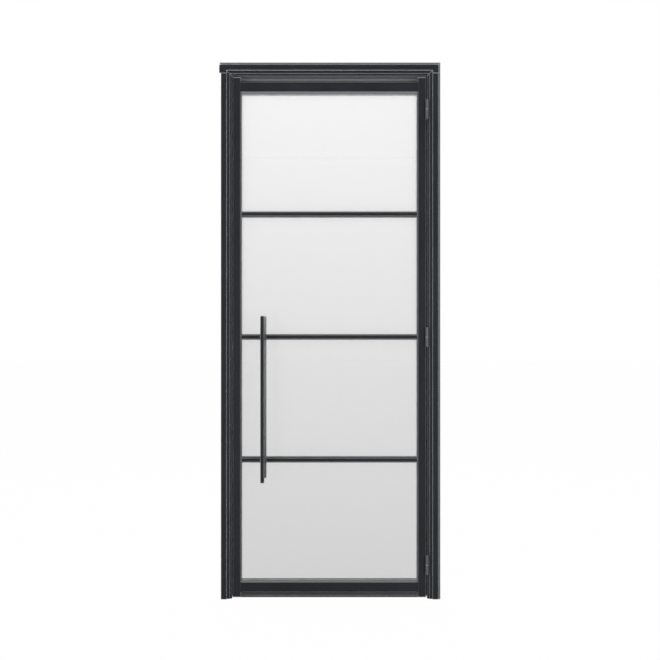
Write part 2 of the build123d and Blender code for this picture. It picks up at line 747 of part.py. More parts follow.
def leaf_knuckle(middle):
    """The upper knuckle, its arm, and the wing on the leaf's edge."""
    low, high = middle + WASHER / 2, middle + HINGE_HEIGHT / 2
    wing_x = (LEAF_RIGHT, LEAF_RIGHT + WING_THICKNESS)
    body = barrel(low, high, 1) + knuckle_arm(wing_x, low, high)
    body += block(wing_x, wing_y(), (middle - HINGE_HEIGHT / 2, high))
    return body - rod((AXIS_X, AXIS_Y, low), (0, 0, 1), PIN_RADIUS + PIN_RUNNING_CLEARANCE, PIN_UP)


def hinge_pin(middle):
    """Pin that is tight in the frame's knuckle and turns in the leaf's."""
    low, high = middle - PIN_DOWN, middle + PIN_UP - PIN_END_GAP
    body = rod((AXIS_X, AXIS_Y, low), (0, 0, 1), PIN_RADIUS, high - low)
    return chamfer(body.edges().filter_by(GeomType.CIRCLE).sort_by(Axis.Z)[-1], PIN_CHAMFER)


def hinge_washer(middle):
    """Thrust washer between the knuckles."""
    low = (AXIS_X, AXIS_Y, middle - WASHER / 2)
    ring = rod(low, (0, 0, 1), BARREL_RADIUS - WASHER_INSET, WASHER)
    return ring - rod(low, (0, 0, 1), PIN_RADIUS + PIN_RUNNING_CLEARANCE, WASHER)


def plate_sinking(face, inward):
    """The shallow sinking that a face plate lies in."""
    floor = face + inward * (PLATE_THICKNESS - PLATE_PROUD)
    return catch_block((face, floor), PLATE_WIDTH + 2 * PLATE_CLEARANCE, PLATE_HEIGHT + 2 * PLATE_CLEARANCE)


def sunk_plate(back, outward, window_width, window_height):
    """A plate with a window for the roller, standing a little proud."""
    front = back + outward * PLATE_THICKNESS
    window = (back - outward * OVERRUN, front + outward * OVERRUN)
    body = catch_block((back, front), PLATE_WIDTH, PLATE_HEIGHT)
    return body - catch_block(window, window_width, window_height)


def faceplate():
    """The catch's plate in the leaf's edge."""
    back = LEAF_LEFT + PLATE_THICKNESS - PLATE_PROUD
    width, height = BOLT_HALF_WIDTH + FORK_PLAY, FORK_HALF_HEIGHT + FORK_PLAY
    return sunk_plate(back, -1, 2 * width, 2 * height)


def strike_plate():
    """The plate in the jamb whose window is as wide as the roller where it enters."""
    back = -HALF - PLATE_THICKNESS + PLATE_PROUD
    short = ROLLER_RADIUS - ROLLER_INTO_JAMB - PLATE_PROUD
    half_chord = math.sqrt(ROLLER_RADIUS**2 - short**2)
    return sunk_plate(back, 1, 2 * (half_chord + STRIKE_PLAY), ROLLER_HEIGHT + 2 * STRIKE_PLAY)


def strike_box():
    """Cup behind the jamb's sheet that closes the strike's window."""
    near = -HALF - FRAME_SHEET
    body = catch_block((near - STRIKE_BOX_DEPTH, near), STRIKE_BOX_WIDTH, PLATE_HEIGHT)
    cavity = (near - STRIKE_BOX_DEPTH + CASE_WALL, near)
    return body - catch_block(cavity, STRIKE_CAVITY_WIDTH, STRIKE_CAVITY_HEIGHT)


def catch_case_span():
    """Mouth and back of the catch's case inside the latch stile."""
    tube_back = LEAF_LEFT + STILE_WIDTH - REBATE - PROFILE_WALL
    return LEAF_LEFT + PROFILE_WALL, tube_back - CASE_BACK_GAP


def catch_case():
    """Case that guides the roller's bolt and backs its spring."""
    mouth, back = catch_case_span()
    body = catch_block((mouth, back), CASE_WIDTH, PLATE_HEIGHT)
    guide_y, guide_z = BOLT_HALF_WIDTH + FORK_PLAY, FORK_HALF_HEIGHT + FORK_PLAY
    return body - catch_block((mouth - OVERRUN, back - CASE_WALL), 2 * guide_y, 2 * guide_z)


def bolt_nose():
    """Front end of the catch's bolt, a little behind the roller's tip."""
    return ROLLER_TIP + BOLT_BEHIND_TIP


def catch_bolt():
    """Sliding block with a fork for the roller and a pocket for the spring."""
    nose, tail = bolt_nose(), bolt_nose() + BOLT_LENGTH
    body = catch_block((nose, tail), 2 * BOLT_HALF_WIDTH, 2 * FORK_HALF_HEIGHT)
    slot = (nose - OVERRUN, ROLLER_X + ROLLER_RADIUS + ROLLER_PLAY)
    body -= catch_block(slot, 2 * BOLT_HALF_WIDTH + OVERRUN, ROLLER_HEIGHT + 2 * FORK_PLAY)
    pin_low = (ROLLER_X, 0, CATCH_HEIGHT - FORK_HALF_HEIGHT)
    body -= rod(pin_low, (0, 0, 1), ROLLER_PIN_RADIUS + PIN_TIGHT_CLEARANCE, 2 * FORK_HALF_HEIGHT)
    return body - rod((tail, 0, CATCH_HEIGHT), (-1, 0, 0), SPRING_RADIUS + SPRING_PLAY, SPRING_POCKET)


def roller():
    """The catch's roller, which turns on its pin."""
    low = (ROLLER_X, 0, CATCH_HEIGHT - ROLLER_HEIGHT / 2)
    body = rod(low, (0, 0, 1), ROLLER_RADIUS, ROLLER_HEIGHT)
    body = chamfer(body.edges().filter_by(GeomType.CIRCLE), ROLLER_CHAMFER)
    return body - rod(low, (0, 0, 1), ROLLER_PIN_RADIUS + ROLLER_CLEARANCE, ROLLER_HEIGHT)


def roller_pin():
    """The pin across the fork."""
    low = (ROLLER_X, 0, CATCH_HEIGHT - FORK_HALF_HEIGHT)
    return rod(low, (0, 0, 1), ROLLER_PIN_RADIUS, 2 * FORK_HALF_HEIGHT)


def catch_spring():
    """Coil spring of square wire from the bolt's pocket to the back of the case."""
    start = bolt_nose() + BOLT_LENGTH - SPRING_POCKET + SPRING_WIRE
    length = catch_case_span()[1] - CASE_WALL - SPRING_WIRE - start
    middle_radius = SPRING_RADIUS - SPRING_WIRE
    coil = Helix(pitch=length / SPRING_TURNS, height=length, radius=middle_radius)
    section = Plane(origin=coil @ 0, z_dir=coil % 0) * RegularPolygon(SPRING_WIRE, 4)
    wire = sweep(section, path=coil, is_frenet=True)
    return Plane(origin=(start, 0, CATCH_HEIGHT), z_dir=(1, 0, 0)) * wire


def save(name, shape):
    """Write one node, or several separate solids as one node."""
    if isinstance(shape, list):
        shape = Compound(children=[solid for piece in shape for solid in piece.solids()])
    export_step(shape, f"parts/{name}.step")


def frame_parts():
    """Everything that stays on the wall."""
    return {
        "hinge_jamb": jamb(1, COVER_OUTER + FIXING_FLANGE),
        "latch_jamb": latch_jamb(),
        "frame_head": head(),
        "hinge_jamb_cover": jamb_cover(1),
        "latch_jamb_cover": jamb_cover(-1),
        "head_cover": head_cover(),
        "head_stop_angle": stop_angle(),
        "hinge_jamb_seal": jamb_seal(1),
        "latch_jamb_seal": jamb_seal(-1),
        "head_seal": head_seal(),
        "strike_plate": strike_plate(),
        "strike_box": strike_box(),
        "frame_backing_plates": backing_plates(1),
    }


def leaf_parts():
    """Everything that swings, apart from the hinges and the catch's moving pieces."""
    parts = {
        "latch_stile": latch_stile(),
        "hinge_stile": stile(LEAF_RIGHT, -1),
        "top_rail": rail(TOP_RAIL_TOP, -1),
        "bottom_rail": rail(BOTTOM_RAIL_BOTTOM, 1),
        "rail_end_blocks": rail_end_blocks(),
        "stile_end_caps": stile_end_caps(),
        "glass_pane": glass_pane(),
        "setting_blocks": setting_blocks(),
        "front_gasket": gasket(True),
        "back_gasket": gasket(False),
        "side_beads": [side_bead(PANE_LEFT, 1), side_bead(PANE_RIGHT, -1)],
        "cross_beads": [cross_bead(PANE_BOTTOM, 1), cross_bead(PANE_TOP, -1)],
        "front_pull_bar": pull_bar(-1),
        "back_pull_bar": pull_bar(1),
        "pull_bar_caps": pull_caps(),
        "pull_bar_posts": standoffs(-1) + standoffs(1),
        "pull_bar_bolts": pull_bolts(),
        "glass_bushes": glass_bushes(),
        "bottom_seal_housing": bottom_seal_housing(),
        "bottom_seal_blade": bottom_seal_blade(),
        "leaf_backing_plates": backing_plates(-1),
    }
    for place, height in zip(("lower", "middle", "upper"), bar_heights()):
        drilled = height in pull_bolt_heights()
        parts[f"{place}_front_glazing_bar"] = glazing_bar(height, True, drilled)
        parts[f"{place}_back_glazing_bar"] = glazing_bar(height, False, drilled)
    return parts


def hinge_parts():
    """The pieces of each hinge, from the bottom one up."""
    parts = {
        "hinge_pins": [hinge_pin(middle) for middle in hinge_heights()],
        "hinge_washers": [hinge_washer(middle) for middle in hinge_heights()],
    }
    for place, middle in zip(("lower", "middle", "upper"), hinge_heights()):
        parts[f"{place}_frame_knuckle"] = frame_knuckle(middle)
        parts[f"{place}_leaf_knuckle"] = leaf_knuckle(middle)
    return parts


def catch_parts():
    """The sprung roller catch in the leaf's edge."""
    return {
        "catch_faceplate": faceplate(),
        "catch_case": catch_case(),
        "catch_bolt": catch_bolt(),
        "catch_roller": roller(),
        "catch_roller_pin": roller_pin(),
        "catch_spring": catch_spring(),
    }


def main():
    os.makedirs("parts", exist_ok=True)
    for group in (frame_parts(), leaf_parts(), hinge_parts(), catch_parts()):
        for name, shape in group.items():
            save(name, shape)


main()
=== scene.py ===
import json
import math

import bmesh
import bpy
from mathutils import Matrix, Vector

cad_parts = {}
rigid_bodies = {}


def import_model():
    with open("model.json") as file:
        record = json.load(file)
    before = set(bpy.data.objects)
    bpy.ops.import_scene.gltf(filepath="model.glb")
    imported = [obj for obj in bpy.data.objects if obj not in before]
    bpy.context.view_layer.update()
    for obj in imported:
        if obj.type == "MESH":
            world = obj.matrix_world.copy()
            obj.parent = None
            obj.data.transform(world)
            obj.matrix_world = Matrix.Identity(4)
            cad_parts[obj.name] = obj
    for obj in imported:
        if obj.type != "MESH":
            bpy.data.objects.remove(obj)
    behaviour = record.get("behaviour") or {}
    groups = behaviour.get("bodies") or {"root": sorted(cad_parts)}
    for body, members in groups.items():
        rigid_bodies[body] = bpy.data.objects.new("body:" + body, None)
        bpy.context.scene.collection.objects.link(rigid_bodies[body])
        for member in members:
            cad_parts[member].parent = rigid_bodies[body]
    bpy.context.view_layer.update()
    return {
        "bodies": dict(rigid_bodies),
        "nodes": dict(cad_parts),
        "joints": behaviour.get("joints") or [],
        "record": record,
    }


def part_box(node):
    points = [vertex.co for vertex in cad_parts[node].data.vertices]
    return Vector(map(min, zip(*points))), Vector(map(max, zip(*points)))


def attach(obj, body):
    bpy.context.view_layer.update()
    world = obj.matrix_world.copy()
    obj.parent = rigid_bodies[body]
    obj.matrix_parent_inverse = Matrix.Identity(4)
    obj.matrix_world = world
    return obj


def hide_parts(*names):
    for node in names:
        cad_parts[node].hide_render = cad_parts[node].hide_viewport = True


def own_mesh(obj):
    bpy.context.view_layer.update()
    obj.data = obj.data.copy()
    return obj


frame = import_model()
nodes = frame["nodes"]
scene = bpy.context.scene

# The camera stands square in front of the doorway, a little over four metres from the covers.
IMAGE_SIZE = 660
FOCAL_PIXELS = 1001.0
SENSOR = 36.0
CAMERA_PLACE = (0.0016, -4.042, 1.0792)

# The covers end here; the frame's fixing flange goes on past them.
FLANGE_FROM_X = 0.4352
FLANGE_FROM_Z = 2.1427

# The rebate that the closed leaf hides reaches from its front plane to the stop's face.
REBATE_FRONT = -0.0195
REBATE_BACK = 0.0255

# Screws of the hinges' wings, the catch's plates and the angle under the head's stop
SCREW_SIDES = 24
SCREW_RISE = 0.0003
HINGE_SCREW_PITCH = 0.028
HINGE_SCREW_Y = -0.004
HINGE_SCREW_FRAME_X = 0.390
HINGE_SCREW_LEAF_X = 0.389
PLATE_SCREW_FROM_END = 0.005
STOP_SCREW_FROM_END = 0.060
STOP_SCREW_Y = 0.038
STOP_ANGLE_SHEET = 0.003
HINGE_SCREW_RADIUS = 0.0042
PLATE_SCREW_RADIUS = 0.0025
STOP_SCREW_RADIUS = 0.0036
STOP_SCREWS = 4

# The stiles' fins, which the rails' ends are cut to fit
STILE_CHAMFER = 0.004
FIN_REACH = 0.010
FIN_BACK = -0.007
COPE_PLAY = 0.0001
CUTTER_OVERRUN = 0.002
SAME_PLACE = 1e-6
# The span across the doorway where the rails carry the painted edge highlight
RAIL_HIGHLIGHT_SPAN = (-0.352, 0.3495)

# The catch's spring; its bolt travels as far as the record says.
SPRING_TURNS = 4
SPRING_WIRE = 0.0004
SPRING_SIDES = 10
SPRING_STEPS = 36
SPRING_CLOSING = 0.55

# How far the floor reaches, and how much of it shows as plain white
FLOOR_REACH = 30.0
FLOOR_SHOWN_WHITE = 0.985

# Colours are linear.
ANTHRACITE = (0.0125, 0.0139, 0.0164, 1)
# Painted light: lighter copies of the paint for faces that don't look to the front or back, standing in
# for the light falling on them.
ANTHRACITE_PAINTED_SIDE_LIGHT = (0.092, 0.095, 0.100, 1)
RAIL_PAINTED_SIDE_LIGHT = (0.190, 0.195, 0.203, 1)
# Pale specks in the coat, and painted highlights along the edges.
SPECK_AND_EDGE_HIGHLIGHT = (0.50, 0.506, 0.518, 1)
FLANGE_GREY = (0.125, 0.128, 0.134, 1)
PRIMER_GREY = (0.21, 0.214, 0.22, 1)
# Painted light: a lighter copy of the primer for the rebate's faces that look across the doorway,
# standing in for light in the gap.
PAINTED_REVEAL_LIGHT_GREY = (0.42, 0.425, 0.43, 1)
HINGE_GREY = (0.085, 0.087, 0.091, 1)
GASKET_GREY = (0.45, 0.45, 0.455, 1)
RUBBER_GREY = (0.050, 0.050, 0.051, 1)
HOUSING_GREY = (0.040, 0.042, 0.046, 1)

# The pane's tint is painted shade, darker towards the floor; it lets more light through, with less
# haze, towards the floor.
PANE_BOTTOM, PANE_TOP = 0.07, 2.03
PASSED_BOTTOM, PASSED_TOP = 0.97, 0.70
PAINTED_SHADE_TINT_BOTTOM, PAINTED_SHADE_TINT_TOP = 0.652, 0.888


class Graph:
    """A material's nodes, with short ways to make the ones that repeat."""

    def __init__(self, name):
        self.material = bpy.data.materials.new(name)
        self.material.use_nodes = True
        self.tree = self.material.node_tree
        self.tree.nodes.clear()
        self.out = self.tree.nodes.new("ShaderNodeOutputMaterial")
        self.coordinates = self.tree.nodes.new("ShaderNodeTexCoord")
        self.place = self.coordinates.outputs["Object"]

    def link(self, source, target):
        """Joins an output to an input."""
        self.tree.links.new(source, target)

    def add(self, kind, inputs=(), **settings):
        """A node with its settings, and inputs given as (name, value or output)."""
        node = self.tree.nodes.new("ShaderNode" + kind)
        for key, value in settings.items():
            setattr(node, key, value)
        for key, value in inputs:
            if isinstance(value, bpy.types.NodeSocket):
                self.link(value, node.inputs[key])
            else:
                node.inputs[key].default_value = value
        return node

    def stretched(self, scale):
        """Object coordinates, scaled along each axis."""
        return self.add("Mapping", [("Vector", self.place), ("Scale", scale)]).outputs[0]

    def noise(self, scale, detail=3.0, rough=0.55, place=None):
        """Noise between 0 and 1 with so many features to the metre."""
        inputs = [("Vector", place or self.place), ("Scale", scale)]
        inputs += [("Detail", detail), ("Roughness", rough)]
        return self.add("TexNoise", inputs).outputs["Fac"]

    def ramp(self, value, low, high, out_low, out_high):
        """A value spread from one range to another and held at its ends."""
        inputs = [("Value", value), ("From Min", low), ("From Max", high)]
        inputs += [("To Min", out_low), ("To Max", out_high)]
        return self.add("MapRange", inputs).outputs[0]

    def math(self, operation, a, b):
        """One sum of two values."""
        return self.add("Math", [(0, a), (1, b)], operation=operation).outputs[0]

    def mix(self, factor, a, b):
        """One colour over another."""
        return self.add("Mix", [("Factor", factor), (6, a), (7, b)], data_type="RGBA").outputs[2]

    def bump(self, height, strength, distance, normal=None):
        """A bumped normal."""
        inputs = [("Strength", strength), ("Distance", distance), ("Height", height)]
        if normal is not None:
            inputs.append(("Normal", normal))
        return self.add("Bump", inputs).outputs[0]

    def rounded(self, radius):
        """The surface's normal, as if its edges had this radius."""
        return self.add("Bevel", [("Radius", radius)], samples=12).outputs[0]

    def edges(self, normal, low, high):
        """1 along the edges of the shape and 0 on its faces."""
        true = self.add("NewGeometry").outputs["Normal"]
        dot = self.add("VectorMath", [(0, normal), (1, true)], operation="DOT_PRODUCT").outputs["Value"]
        return self.ramp(dot, high, low, 0.0, 1.0)

    def surface(self, inputs):
        """Ends the material in a principled shader."""
        shader = self.add("BsdfPrincipled", inputs)
        self.link(shader.outputs[0], self.out.inputs["Surface"])
        return self.material


def powder_coat(name, colour, painted_side_light_colour, edge_radius, roughness=0.5, frame=False, ends=None):
    """Fine-textured powder coat, with painted light: lighter on sideways-facing faces as painted side
    light, and lightest along the edges as a painted highlight.
    """
    g = Graph(name)
    # Painted side light: faces that don't look to the front or back get the lighter side colour.
    facing = g.add("SeparateXYZ", [("Vector", g.coordinates.outputs["Normal"])]).outputs["Y"]
    side = g.ramp(g.math("ABSOLUTE", facing, 0.0), 0.97, 0.65, 0.0, 1.0)
    broad = g.noise(5.0, 4.0)
    speck = g.noise(2600.0, 2.0, 0.7)
    # Painted highlight: a lighter band along every edge, found from the rounded normal, standing in for
    # light caught by the edges.
    normal = g.rounded(edge_radius)
    edge_highlight_mask = g.edges(normal, 0.82, 0.995)
    uneven = g.ramp(g.noise(90.0, 3.0), 0.3, 0.7, 0.9, 1.0)
    painted_edge_highlight = g.math("MULTIPLY", edge_highlight_mask, uneven)
    # The painted edge highlight stops short of a rail's butted ends.
    if ends is not None:
        painted_edge_highlight = g.math("MULTIPLY", painted_edge_highlight, between(g, *ends))
    darker = [0.86 * c for c in colour[:3]] + [1]
    lighter = [1.16 * c for c in colour[:3]] + [1]
    tone = g.mix(g.ramp(broad, 0.35, 0.65, 0.0, 1.0), darker, lighter)
    if frame:
        tone = g.mix(bare_flange(g), tone, FLANGE_GREY)
    # Painted side light on faces that don't look to the front or back.
    tone = g.mix(side, tone, painted_side_light_colour)
    if frame:
        # Painted light: in the rebate, faces that look across the doorway get the lighter copy of the
        # primer.
        across = g.add("SeparateXYZ", [("Vector", g.coordinates.outputs["Normal"])]).outputs["X"]
        primer_with_painted_reveal_light = g.mix(g.math("ABSOLUTE", across, 0.0), PRIMER_GREY, PAINTED_REVEAL_LIGHT_GREY)
        tone = g.mix(rebate(g), tone, primer_with_painted_reveal_light)
    tone = g.mix(g.ramp(speck, 0.64, 0.78, 0.0, 0.1), tone, SPECK_AND_EDGE_HIGHLIGHT)
    # Painted edge highlight.
    tone = g.mix(painted_edge_highlight, tone, SPECK_AND_EDGE_HIGHLIGHT)
    rough = g.ramp(g.noise(38.0, 4.0), 0.3, 0.7, roughness - 0.05, roughness + 0.07)
    grain = g.bump(g.noise(1500.0, 2.0), 0.35, 0.0003, normal)
    return g.surface([
        ("Base Color", tone),
        ("Roughness", rough),
        ("Specular IOR Level", 0.14),
        ("Normal", grain),
    ])


def between(g, left, right):
    """1 between two places across the doorway, which leaves a rail's butted ends out of the painted
    edge highlight.
    """
    across = g.add("SeparateXYZ", [("Vector", g.place)]).outputs["X"]
    after = g.math("GREATER_THAN", across, left)
    return g.math("MULTIPLY", after, g.math("LESS_THAN", across, right))


def bare_flange(g):
    """1 on the fixing flange that stands out past the covers, which has only its primer."""
    place = g.add("SeparateXYZ", [("Vector", g.place)]).outputs
    beside = g.math("GREATER_THAN", place["X"], FLANGE_FROM_X)
    above = g.math("GREATER_THAN", place["Z"], FLANGE_FROM_Z)
    return g.math("MAXIMUM", beside, above)


def rebate(g):
    """1 in the frame's rebate, where the closed leaf keeps the pale primer from showing."""
    depth = g.add("SeparateXYZ", [("Vector", g.place)]).outputs["Y"]
    behind = g.math("GREATER_THAN", depth, REBATE_FRONT)
    return g.math("MULTIPLY", behind, g.math("LESS_THAN", depth, REBATE_BACK))


def metal(name, colour, roughness, brush=(1.0, 1.0, 1.0)):
    """Bare metal with fine lines along one direction and faint staining."""
    g = Graph(name)
    lines = g.noise(900.0, 4.0, 0.6, g.stretched(brush))
    stain = g.noise(60.0, 3.0)
    darker = [0.72 * c for c in colour[:3]] + [1]
    tone = g.mix(g.ramp(lines, 0.3, 0.7, 0.0, 1.0), darker, colour)
    tone = g.mix(g.ramp(stain, 0.55, 0.8, 0.0, 0.4), tone, darker)
    rough = g.ramp(lines, 0.3, 0.7, roughness - 0.06, roughness + 0.08)
    return g.surface([
        ("Base Color", tone),
        ("Metallic", 1.0),
        ("Roughness", rough),
        ("Normal", g.bump(lines, 0.2, 0.0002)),
    ])


def dielectric(name, colour, roughness, grain=700.0, spread=0.2):
    """Rubber or plastic with a moulded grain."""
    g = Graph(name)
    broad = g.noise(25.0, 4.0)
    darker = [(1 - spread) * c for c in colour[:3]] + [1]
    lighter = [(1 + spread) * c for c in colour[:3]] + [1]
    tone = g.mix(g.ramp(broad, 0.35, 0.65, 0.0, 1.0), darker, lighter)
    fine = g.noise(grain, 3.0)
    rough = g.ramp(fine, 0.3, 0.7, roughness - 0.08, roughness + 0.08)
    return g.surface([
        ("Base Color", tone),
        ("Roughness", rough),
        ("Normal", g.bump(fine, 0.25, 0.0003)),
    ])


def glass():
    """Satin glass whose fine haze fades towards the floor, with its tint painted darker towards the
    floor as painted shade.
    """
    g = Graph("pane_glass")
    height = g.add("SeparateXYZ", [("Vector", g.place)]).outputs["Z"]
    # Painted shade: the tint darkens towards the floor.
    tone = g.ramp(height, PANE_BOTTOM, PANE_TOP, 0.0, 1.0)
    low, high = PAINTED_SHADE_TINT_BOTTOM, PAINTED_SHADE_TINT_TOP
    colour = g.mix(tone, (low, low, low, 1), (high, high, high, 1))
    passed = g.ramp(height, PANE_BOTTOM, PANE_TOP, PASSED_BOTTOM, PASSED_TOP)
    faint = g.ramp(g.noise(3.0, 2.0), 0.3, 0.7, 0.0, 0.02)
    return g.surface([
        ("Base Color", colour),
        ("Transmission Weight", passed),
        ("Roughness", faint),
        ("IOR", 1.02),
    ])


frame_paint = powder_coat("frame_powder_coat", ANTHRACITE, ANTHRACITE_PAINTED_SIDE_LIGHT, 0.0030, frame=True)
primer = powder_coat("frame_primer", PRIMER_GREY, PRIMER_GREY, 0.0010, 0.6)
leaf_paint = powder_coat("leaf_powder_coat", ANTHRACITE, ANTHRACITE_PAINTED_SIDE_LIGHT, 0.0026)
rail_paint = powder_coat("rail_powder_coat", ANTHRACITE, RAIL_PAINTED_SIDE_LIGHT, 0.0026, ends=RAIL_HIGHLIGHT_SPAN)
hinge_paint = powder_coat("hinge_powder_coat", HINGE_GREY, ANTHRACITE_PAINTED_SIDE_LIGHT, 0.0008, 0.4)
housing_paint = powder_coat("housing_powder_coat", HOUSING_GREY, ANTHRACITE_PAINTED_SIDE_LIGHT, 0.0030)
gasket = dielectric("glazing_gasket", GASKET_GREY, 0.6)
rubber = dielectric("seal_rubber", RUBBER_GREY, 0.6)
screws = metal("blackened_screws", (0.05, 0.05, 0.054, 1), 0.42)
steel = metal("bare_steel", (0.50, 0.50, 0.50, 1), 0.32, (1.0, 1.0, 0.02))
plate = metal("plate_steel", (0.42, 0.42, 0.42, 1), 0.34, (1.0, 1.0, 0.03))
aluminium = metal("mill_aluminium", (0.60, 0.60, 0.61, 1), 0.38, (0.03, 1.0, 1.0))
pale_plastic = dielectric("pale_plastic", (0.62, 0.62, 0.60, 1), 0.45, 900.0, 0.06)
dark_plastic = dielectric("dark_plastic", (0.025, 0.025, 0.026, 1), 0.5)
pane = glass()

FINISHES = {
    "frame_paint": frame_paint,
    "frame_primer": primer,
    "leaf_paint": leaf_paint,
    "hinge_paint": hinge_paint,
    "seal_rubber": rubber,
    "clear_glass": pane,
    "bare_steel": steel,
    "plate_steel": plate,
    "mill_aluminium": aluminium,
    "pale_plastic": pale_plastic,
    "dark_plastic": dark_plastic,
}

# These differ from the rest of their slot.
OWN_FINISHES = {
    "bottom_seal_housing": housing_paint,
    "front_gasket": gasket,
    "back_gasket": gasket,
}

for part in frame["record"]["subparts"]:
    node = nodes[part["node"]]
    node.data.materials.clear()
    node.data.materials.append(OWN_FINISHES.get(part["node"], FINISHES[part["material_slot"]]))


def screw_head(mesh, place, facing, radius, rise):
    """Adds one countersunk head with a hexagon socket, a little proud of its seat."""
    middle, outward = Vector(place), Vector(facing)
    turn = outward.to_track_quat("Z", "Y").to_matrix().to_4x4()
    move = Matrix.Translation(middle) @ turn
    socket, depth = 0.52 * radius, 0.45 * radius
    rings = [
        (radius, -0.9 * rise, SCREW_SIDES),
        (radius, 0.35 * rise, SCREW_SIDES),
        (0.93 * radius, 0.8 * rise, SCREW_SIDES),
        (0.75 * radius, rise, SCREW_SIDES),
        (1.12 * socket, rise, 6),
        (socket, 0.8 * rise, 6),
        (socket, rise - depth, 6),
    ]
    loops = []
    for size, height, sides in rings:
        loop = []
        for i in range(SCREW_SIDES):
            angle = 2 * math.pi * i / SCREW_SIDES
            reach = size if sides == SCREW_SIDES else hexagon_reach(size, angle)
            place = (reach * math.cos(angle), reach * math.sin(angle), height)
            loop.append(mesh.verts.new(move @ Vector(place)))
        loops.append(loop)
    for low, high in zip(loops, loops[1:]):
        for i in range(SCREW_SIDES):
            j = (i + 1) % SCREW_SIDES
            mesh.faces.new((low[i], low[j], high[j], high[i]))
    mesh.faces.new(loops[-1])
    mesh.faces.new(loops[0][::-1])


def hexagon_reach(size, angle):
    """How far a hexagon with this width across its corners, halved, reaches at an angle."""
    sector = math.pi / 3
    off_middle = (angle % sector) - sector / 2
    return size * math.cos(sector / 2) / math.cos(off_middle)


def screw_set(name, body, places, facing, radius):
    """All the screws of one kind that are set in one body, as one piece."""
    mesh = bmesh.new()
    for place in places:
        screw_head(mesh, place, facing, radius, SCREW_RISE)
    data = bpy.data.meshes.new(name)
    mesh.to_mesh(data)
    mesh.free()
    data.materials.append(screws)
    piece = bpy.data.objects.new(name, data)
    scene.collection.objects.link(piece)
    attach(piece, body)


def fin_cutter(inner, way, front, low, high):
    """A solid that holds all of one stile's fin, and the space in front of it."""
    outer = inner - way * (FIN_REACH + CUTTER_OVERRUN)
    inner = inner + way * COPE_PLAY
    ahead, back = front - CUTTER_OVERRUN, FIN_BACK + COPE_PLAY
    outline = [
        (outer, ahead),
        (inner - way * STILE_CHAMFER, ahead),
        (inner - way * STILE_CHAMFER, front),
        (inner, front + STILE_CHAMFER),
        (inner, back),
        (outer, back),
    ]
    heights = (low - CUTTER_OVERRUN, high + CUTTER_OVERRUN)
    mesh = bmesh.new()
    ends = [[mesh.verts.new((x, y, z)) for x, y in outline] for z in heights]
    for end in ends:
        mesh.faces.new(end)
    for i in range(len(outline)):
        j = (i + 1) % len(outline)
        mesh.faces.new((ends[0][i], ends[0][j], ends[1][j], ends[1][i]))
    bmesh.ops.recalc_face_normals(mesh, faces=mesh.faces)
    data = bpy.data.meshes.new("fin_cutter")
    mesh.to_mesh(data)
    mesh.free()
    cutter = bpy.data.objects.new("fin_cutter", data)
    scene.collection.objects.link(cutter)
    return cutter


def coped_rails():
    """The rails with their ends cut to the stiles' fins, in place of the uncut ones."""
    front = low_high("latch_stile", 1)[0]
    inner = [(low_high("latch_stile", 0)[1], 1), (low_high("hinge_stile", 0)[0], -1)]
    for name in ("top_rail", "bottom_rail"):
        mesh = bmesh.new()
        mesh.from_mesh(nodes[name].data)
        bmesh.ops.remove_doubles(mesh, verts=mesh.verts, dist=SAME_PLACE)
        data = bpy.data.meshes.new(f"coped_{name}")
        mesh.to_mesh(data)
        mesh.free()
        piece = bpy.data.objects.new(f"coped_{name}", data)
        scene.collection.objects.link(piece)
        cutters = [fin_cutter(x, way, front, *low_high(name, 2)) for x, way in inner]
        for cutter in cutters:
            cope = piece.modifiers.new(cutter.name, "BOOLEAN")
            cope.operation, cope.solver, cope.object = "DIFFERENCE", "EXACT", cutter
        bpy.context.view_layer.update()
        evaluated = piece.evaluated_get(bpy.context.evaluated_depsgraph_get())
        piece.data = bpy.data.meshes.new_from_object(evaluated)
        piece.modifiers.clear()
        piece.data.materials.clear()
        piece.data.materials.append(rail_paint)
        for cutter in cutters:
            bpy.data.meshes.remove(cutter.data)
        for side in piece.data.polygons:
            side.use_smooth = False
        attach(piece, "leaf")
        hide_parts(name)


def low_high(node, axis):
    """The least and greatest place of a node along an axis."""
    corners = [nodes[node].matrix_world @ v.co for v in nodes[node].data.vertices]
    values = [corner[axis] for corner in corners]
    return min(values), max(values)


def fasteners():
    """The screws of the hinges, of the catch and of the angle under the head's stop."""
    frame_side, leaf_side = [], []
    for place in ("lower", "middle", "upper"):
        low, high = low_high(f"{place}_frame_knuckle", 2)
        middle = (low + high) / 2
        for step in (-1, 0, 1):
            z = middle + step * HINGE_SCREW_PITCH
            frame_side.append((HINGE_SCREW_FRAME_X, HINGE_SCREW_Y, z))
            leaf_side.append((HINGE_SCREW_LEAF_X, HINGE_SCREW_Y, z))
    screw_set("frame_hinge_screws", "frame", frame_side, (-1, 0, 0), HINGE_SCREW_RADIUS)
    screw_set("leaf_hinge_screws", "leaf", leaf_side, (1, 0, 0), HINGE_SCREW_RADIUS)
    low, high = low_high("catch_faceplate", 2)
    heights = (low + PLATE_SCREW_FROM_END, high - PLATE_SCREW_FROM_END)
    face = low_high("catch_faceplate", 0)[0]
    places = [(face, 0, z) for z in heights]
    screw_set("faceplate_screws", "leaf", places, (-1, 0, 0), PLATE_SCREW_RADIUS)
    face = low_high("strike_plate", 0)[1]
    places = [(face, 0, z) for z in heights]
    screw_set("strike_screws", "frame", places, (1, 0, 0), PLATE_SCREW_RADIUS)
    left, right = low_high("head_stop_angle", 0)
    under = low_high("head_stop_angle", 2)[1] - STOP_ANGLE_SHEET
    span = right - left - 2 * STOP_SCREW_FROM_END
    across = [left + STOP_SCREW_FROM_END + span * i / (STOP_SCREWS - 1) for i in range(STOP_SCREWS)]
    places = [(x, STOP_SCREW_Y, under) for x in across]
    screw_set("stop_angle_screws", "frame", places, (0, 0, -1), STOP_SCREW_RADIUS)


